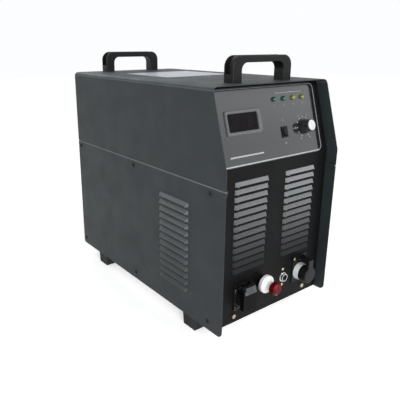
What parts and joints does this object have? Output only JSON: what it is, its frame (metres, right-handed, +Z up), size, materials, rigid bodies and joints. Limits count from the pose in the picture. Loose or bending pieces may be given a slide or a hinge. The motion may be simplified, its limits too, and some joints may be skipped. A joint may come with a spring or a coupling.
{
  "type": "air plasma cutter power source",
  "caption": "Inverter air plasma cutter in a folded sheet steel case with a leaning control panel, louvred front and sides, bow handles and lidded front sockets.",
  "frame": {"origin": "on the floor, midway between the case sides and midway along the case", "axes": "+Z up, -Y out of the front panel, +X to the right seen from the front"},
  "size_m": [0.312, 0.5945, 0.522],
  "materials": {
    "case_paint": "satin textured powder coat",
    "panel_paint": "satin textured powder coat",
    "plated_steel": "zinc plated",
    "black_steel": "black oxide",
    "label_film": "satin printed film",
    "plate_film": "satin film",
    "moulded_black": "fine grained moulding",
    "rubber_black": "matte",
    "bezel_grey": "satin moulding",
    "smoked_window": "smoked, clear",
    "green_lens": "clear tinted",
    "amber_lens": "clear tinted",
    "knob_black": "polished moulding",
    "spun_aluminium": "spun satin",
    "bright_nickel": "polished plate",
    "white_nylon": "satin moulding",
    "red_plastic": "clear tinted",
    "turned_brass": "turned",
    "board_green": "solder mask",
    "bare_aluminium": "extruded",
    "potted_module": "moulded",
    "can_sleeve": "shrink sleeve",
    "ferrite": "sintered",
    "winding_tape": "wrapped tape",
    "hose_blue": "smooth"
  },
  "bodies": {
    "chassis": {"base_pan": "plated_steel", "front_foot": "rubber_black", "rear_foot": "rubber_black", "handle_and_foot_screws": "plated_steel", "left_side_panel": "case_paint", "right_side_panel": "case_paint", "black_pan_screws": "black_steel", "top_cover": "case_paint", "side_rails": "plated_steel", "inner_deck": "bare_aluminium", "front_panel": "panel_paint", "control_label": "label_film", "panel_corner_screws": "plated_steel", "bright_small_screws": "plated_steel", "front_handle": "moulded_black", "rear_handle": "moulded_black", "top_plate": "plate_film", "meter_bezel": "bezel_grey", "meter_window": "smoked_window", "meter_body": "moulded_black", "green_lamps": "green_lens", "amber_lamps": "amber_lens", "control_board": "board_green", "rocker_housing": "moulded_black", "potentiometer": "plated_steel", "left_socket": "moulded_black", "right_socket": "moulded_black", "right_socket_ring": "white_nylon", "lid_hinge_pins": "plated_steel", "terminal_base": "moulded_black", "terminal_bush": "white_nylon", "terminal_stud": "turned_brass", "signal_socket": "bright_nickel", "signal_socket_insert": "moulded_black", "rear_panel": "case_paint", "fan_frame": "moulded_black", "fan_guard": "bright_nickel", "breaker_body": "moulded_black", "cable_gland": "moulded_black", "air_inlet": "turned_brass", "earth_bolt": "turned_brass", "solenoid_valve": "turned_brass", "air_hose": "hose_blue", "heatsink_pair": "bare_aluminium", "power_modules": "potted_module", "power_board": "board_green", "dc_capacitors": "can_sleeve", "transformer_core": "ferrite", "transformer_winding": "winding_tape", "output_ring_choke": "winding_tape", "arc_starter_unit": "potted_module"},
    "knob": {"current_knob": "knob_black", "knob_cap": "spun_aluminium", "potentiometer_shaft": "bare_aluminium"},
    "rocker": {"rocker_button": "knob_black"},
    "left_lid": {"left_socket_lid": "moulded_black"},
    "right_lid": {"right_socket_lid": "moulded_black"},
    "thumb_nut": {"terminal_cap": "red_plastic"},
    "rotor": {"fan_rotor": "moulded_black"},
    "breaker_handle": {"breaker_lever": "knob_black"}
  },
  "joints": [
    {"name": "knob_turn", "type": "hinge", "parent": "chassis", "child": "knob", "pos_m": [0.0865, -0.23689, 0.38699], "axis": [0, -0.9588, 0.2841], "range_deg": [-150, 150]},
    {"name": "rocker_tip", "type": "hinge", "parent": "chassis", "child": "rocker", "pos_m": [0.029, -0.23721, 0.38239], "axis": [1, 0, 0], "range_deg": [0, 18]},
    {"name": "left_lid_hinge", "type": "hinge", "parent": "chassis", "child": "left_lid", "pos_m": [-0.078, -0.261, 0.105], "axis": [-1, 0, 0], "range_deg": [0, 95], "stiffness_Nm_per_rad": 0.02},
    {"name": "right_lid_hinge", "type": "hinge", "parent": "chassis", "child": "right_lid", "pos_m": [0.0865, -0.261, 0.114], "axis": [-1, 0, 0], "range_deg": [0, 80], "stiffness_Nm_per_rad": 0.02},
    {"name": "thumb_nut_turn", "type": "hinge", "parent": "chassis", "child": "thumb_nut", "pos_m": [-0.03, -0.292, 0.097], "axis": [0, -1, 0], "range_deg": [0, 360]},
    {"name": "fan_spin", "type": "hinge", "parent": "chassis", "child": "rotor", "pos_m": [0, 0.25, 0.139], "axis": [0, 1, 0], "continuous": true},
    {"name": "breaker_throw", "type": "hinge", "parent": "chassis", "child": "breaker_handle", "pos_m": [-0.062, 0.27, 0.357], "axis": [1, 0, 0], "range_deg": [0, 45]}
  ]
}
